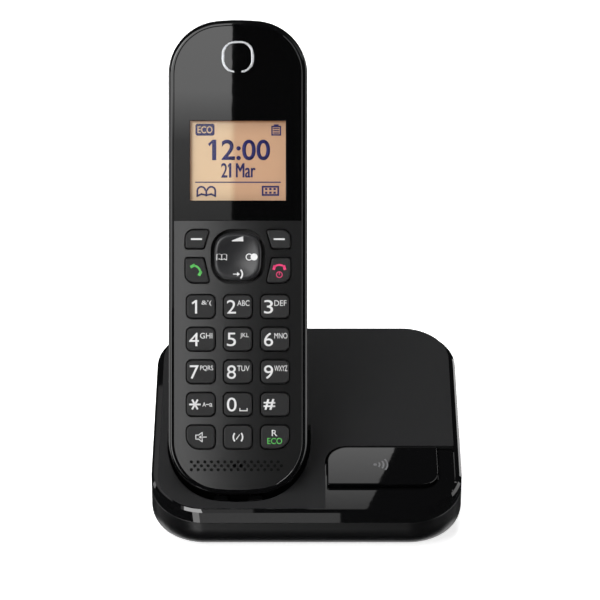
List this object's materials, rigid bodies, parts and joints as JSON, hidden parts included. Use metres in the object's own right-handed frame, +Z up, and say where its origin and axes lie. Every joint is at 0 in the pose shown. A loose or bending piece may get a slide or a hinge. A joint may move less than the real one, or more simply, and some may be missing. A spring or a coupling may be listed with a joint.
{
  "type": "cordless phone with base",
  "caption": "Cordless telephone handset with a display, keypad and sliding battery door, leaning in the well of a sloping charging base with a locator button.",
  "frame": {"origin": "centre of the base's footprint on the surface that it stands on", "axes": "+X to the right seen from the front, +Y towards the back, where the sockets are, +Z up"},
  "size_m": [0.108, 0.0978, 0.1651],
  "materials": {
    "gloss_black_shell": "polished black",
    "lens_black": "clear-coated window with a black printed border",
    "matt_black_cover": "fine spark-eroded texture",
    "base_tub": "satin",
    "fascia_grey": "satin",
    "key_grey": "satin",
    "button_black": "polished black",
    "silver_trim": "satin silver",
    "display_amber": "lit amber",
    "circuit_green": "solder resist",
    "rubber_grey": "soft",
    "foot_rubber": "soft",
    "module_black": "plain",
    "tinned_steel": "bright",
    "contact_plate": "nickel plated",
    "cell_jacket": "plain green sleeve"
  },
  "bodies": {
    "base": {"base_upper_case": "gloss_black_shell", "base_top_plate": "matt_black_cover", "base_lower_case": "base_tub", "base_foot_front_left": "foot_rubber", "base_foot_front_right": "foot_rubber", "base_foot_back_left": "foot_rubber", "base_foot_back_right": "foot_rubber", "base_screw_left": "tinned_steel", "base_screw_right": "tinned_steel", "base_circuit_board": "circuit_green", "locator_switch": "module_black", "line_socket": "module_black", "dc_inlet": "module_black"},
    "handset": {"handset_front_case": "gloss_black_shell", "keypad_fascia": "fascia_grey", "display_lens": "lens_black", "earpiece_trim_ring": "silver_trim", "lcd_module": "display_amber", "backlight_unit": "display_amber", "receiver_capsule": "module_black", "microphone": "module_black", "keypad_mat": "rubber_grey", "handset_circuit_board": "circuit_green", "rf_shield_can": "tinned_steel", "ringer_speaker": "module_black", "handset_rear_case": "gloss_black_shell", "handset_contact_left": "contact_plate", "handset_contact_right": "contact_plate", "battery_tray": "module_black", "battery_cell_left": "cell_jacket", "battery_cell_right": "cell_jacket", "battery_spring_low": "tinned_steel", "battery_spring_high": "tinned_steel"},
    "door": {"battery_door": "gloss_black_shell"},
    "button": {"locator_button": "button_black"},
    "spring_contact_left": {"charge_contact_left": "contact_plate"},
    "spring_contact_right": {"charge_contact_right": "contact_plate"},
    "rocker": {"navigator_rocker": "rubber_grey"},
    "navigator": {"navigator_key": "key_grey"},
    "key_1_cap": {"key_1": "key_grey"},
    "key_2_cap": {"key_2": "key_grey"},
    "key_3_cap": {"key_3": "key_grey"},
    "key_4_cap": {"key_4": "key_grey"},
    "key_5_cap": {"key_5": "key_grey"},
    "key_6_cap": {"key_6": "key_grey"},
    "key_7_cap": {"key_7": "key_grey"},
    "key_8_cap": {"key_8": "key_grey"},
    "key_9_cap": {"key_9": "key_grey"},
    "key_star_cap": {"key_star": "key_grey"},
    "key_0_cap": {"key_0": "key_grey"},
    "key_hash_cap": {"key_hash": "key_grey"},
    "speaker_key_cap": {"speaker_key": "key_grey"},
    "mute_key_cap": {"mute_key": "key_grey"},
    "recall_key_cap": {"recall_key": "key_grey"},
    "soft_key_left_cap": {"soft_key_left": "key_grey"},
    "soft_key_right_cap": {"soft_key_right": "key_grey"},
    "talk_key_cap": {"talk_key": "key_grey"},
    "off_key_cap": {"off_key": "key_grey"}
  },
  "joints": [
    {"name": "handset_lift", "type": "slide", "parent": "base", "child": "handset", "axis": [0, 0.454, 0.891], "range_m": [0, 0.06]},
    {"name": "battery_door_slide", "type": "slide", "parent": "handset", "child": "door", "axis": [0, -0.454, -0.891], "range_m": [0, 0.014]},
    {"name": "locator_button_press", "type": "slide", "parent": "base", "child": "button", "axis": [0, 0.2419, -0.9703], "range_m": [0, 0.001], "stiffness_N_per_m": 400, "springref_m": -0.001},
    {"name": "charge_contact_left_press", "type": "slide", "parent": "base", "child": "spring_contact_left", "axis": [0, -0.454, -0.891], "range_m": [0, 0.0012], "stiffness_N_per_m": 200, "springref_m": -0.001},
    {"name": "charge_contact_right_press", "type": "slide", "parent": "base", "child": "spring_contact_right", "axis": [0, -0.454, -0.891], "range_m": [0, 0.0012], "stiffness_N_per_m": 200, "springref_m": -0.001},
    {"name": "navigator_tilt_up_down", "type": "hinge", "parent": "handset", "child": "rocker", "pos_m": [-0.0237, 0.00221, 0.09063], "axis": [1, 0, 0], "range_deg": [-3, 3], "stiffness_Nm_per_rad": 0.05},
    {"name": "navigator_tilt_left_right", "type": "hinge", "parent": "rocker", "child": "navigator", "pos_m": [-0.0237, 0.00221, 0.09063], "axis": [0, 0.454, 0.891], "range_deg": [-3, 3], "stiffness_Nm_per_rad": 0.05},
    {"name": "key_1_press", "type": "slide", "parent": "handset", "child": "key_1_cap", "axis": [0, 0.891, -0.454], "range_m": [0, 0.0005], "stiffness_N_per_m": 200, "springref_m": -0.0005},
    {"name": "key_2_press", "type": "slide", "parent": "handset", "child": "key_2_cap", "axis": [0, 0.891, -0.454], "range_m": [0, 0.0005], "stiffness_N_per_m": 200, "springref_m": -0.0005},
    {"name": "key_3_press", "type": "slide", "parent": "handset", "child": "key_3_cap", "axis": [0, 0.891, -0.454], "range_m": [0, 0.0005], "stiffness_N_per_m": 200, "springref_m": -0.0005},
    {"name": "key_4_press", "type": "slide", "parent": "handset", "child": "key_4_cap", "axis": [0, 0.891, -0.454], "range_m": [0, 0.0005], "stiffness_N_per_m": 200, "springref_m": -0.0005},
    {"name": "key_5_press", "type": "slide", "parent": "handset", "child": "key_5_cap", "axis": [0, 0.891, -0.454], "range_m": [0, 0.0005], "stiffness_N_per_m": 200, "springref_m": -0.0005},
    {"name": "key_6_press", "type": "slide", "parent": "handset", "child": "key_6_cap", "axis": [0, 0.891, -0.454], "range_m": [0, 0.0005], "stiffness_N_per_m": 200, "springref_m": -0.0005},
    {"name": "key_7_press", "type": "slide", "parent": "handset", "child": "key_7_cap", "axis": [0, 0.891, -0.454], "range_m": [0, 0.0005], "stiffness_N_per_m": 200, "springref_m": -0.0005},
    {"name": "key_8_press", "type": "slide", "parent": "handset", "child": "key_8_cap", "axis": [0, 0.891, -0.454], "range_m": [0, 0.0005], "stiffness_N_per_m": 200, "springref_m": -0.0005},
    {"name": "key_9_press", "type": "slide", "parent": "handset", "child": "key_9_cap", "axis": [0, 0.891, -0.454], "range_m": [0, 0.0005], "stiffness_N_per_m": 200, "springref_m": -0.0005},
    {"name": "key_star_press", "type": "slide", "parent": "handset", "child": "key_star_cap", "axis": [0, 0.891, -0.454], "range_m": [0, 0.0005], "stiffness_N_per_m": 200, "springref_m": -0.0005},
    {"name": "key_0_press", "type": "slide", "parent": "handset", "child": "key_0_cap", "axis": [0, 0.891, -0.454], "range_m": [0, 0.0005], "stiffness_N_per_m": 200, "springref_m": -0.0005},
    {"name": "key_hash_press", "type": "slide", "parent": "handset", "child": "key_hash_cap", "axis": [0, 0.891, -0.454], "range_m": [0, 0.0005], "stiffness_N_per_m": 200, "springref_m": -0.0005},
    {"name": "speaker_key_press", "type": "slide", "parent": "handset", "child": "speaker_key_cap", "axis": [0, 0.891, -0.454], "range_m": [0, 0.0005], "stiffness_N_per_m": 200, "springref_m": -0.0005},
    {"name": "mute_key_press", "type": "slide", "parent": "handset", "child": "mute_key_cap", "axis": [0, 0.891, -0.454], "range_m": [0, 0.0005], "stiffness_N_per_m": 200, "springref_m": -0.0005},
    {"name": "recall_key_press", "type": "slide", "parent": "handset", "child": "recall_key_cap", "axis": [0, 0.891, -0.454], "range_m": [0, 0.0005], "stiffness_N_per_m": 200, "springref_m": -0.0005},
    {"name": "soft_key_left_press", "type": "slide", "parent": "handset", "child": "soft_key_left_cap", "axis": [0, 0.891, -0.454], "range_m": [0, 0.0005], "stiffness_N_per_m": 200, "springref_m": -0.0005},
    {"name": "soft_key_right_press", "type": "slide", "parent": "handset", "child": "soft_key_right_cap", "axis": [0, 0.891, -0.454], "range_m": [0, 0.0005], "stiffness_N_per_m": 200, "springref_m": -0.0005},
    {"name": "talk_key_press", "type": "slide", "parent": "handset", "child": "talk_key_cap", "axis": [0, 0.891, -0.454], "range_m": [0, 0.0005], "stiffness_N_per_m": 200, "springref_m": -0.0005},
    {"name": "off_key_press", "type": "slide", "parent": "handset", "child": "off_key_cap", "axis": [0, 0.891, -0.454], "range_m": [0, 0.0005], "stiffness_N_per_m": 200, "springref_m": -0.0005}
  ]
}
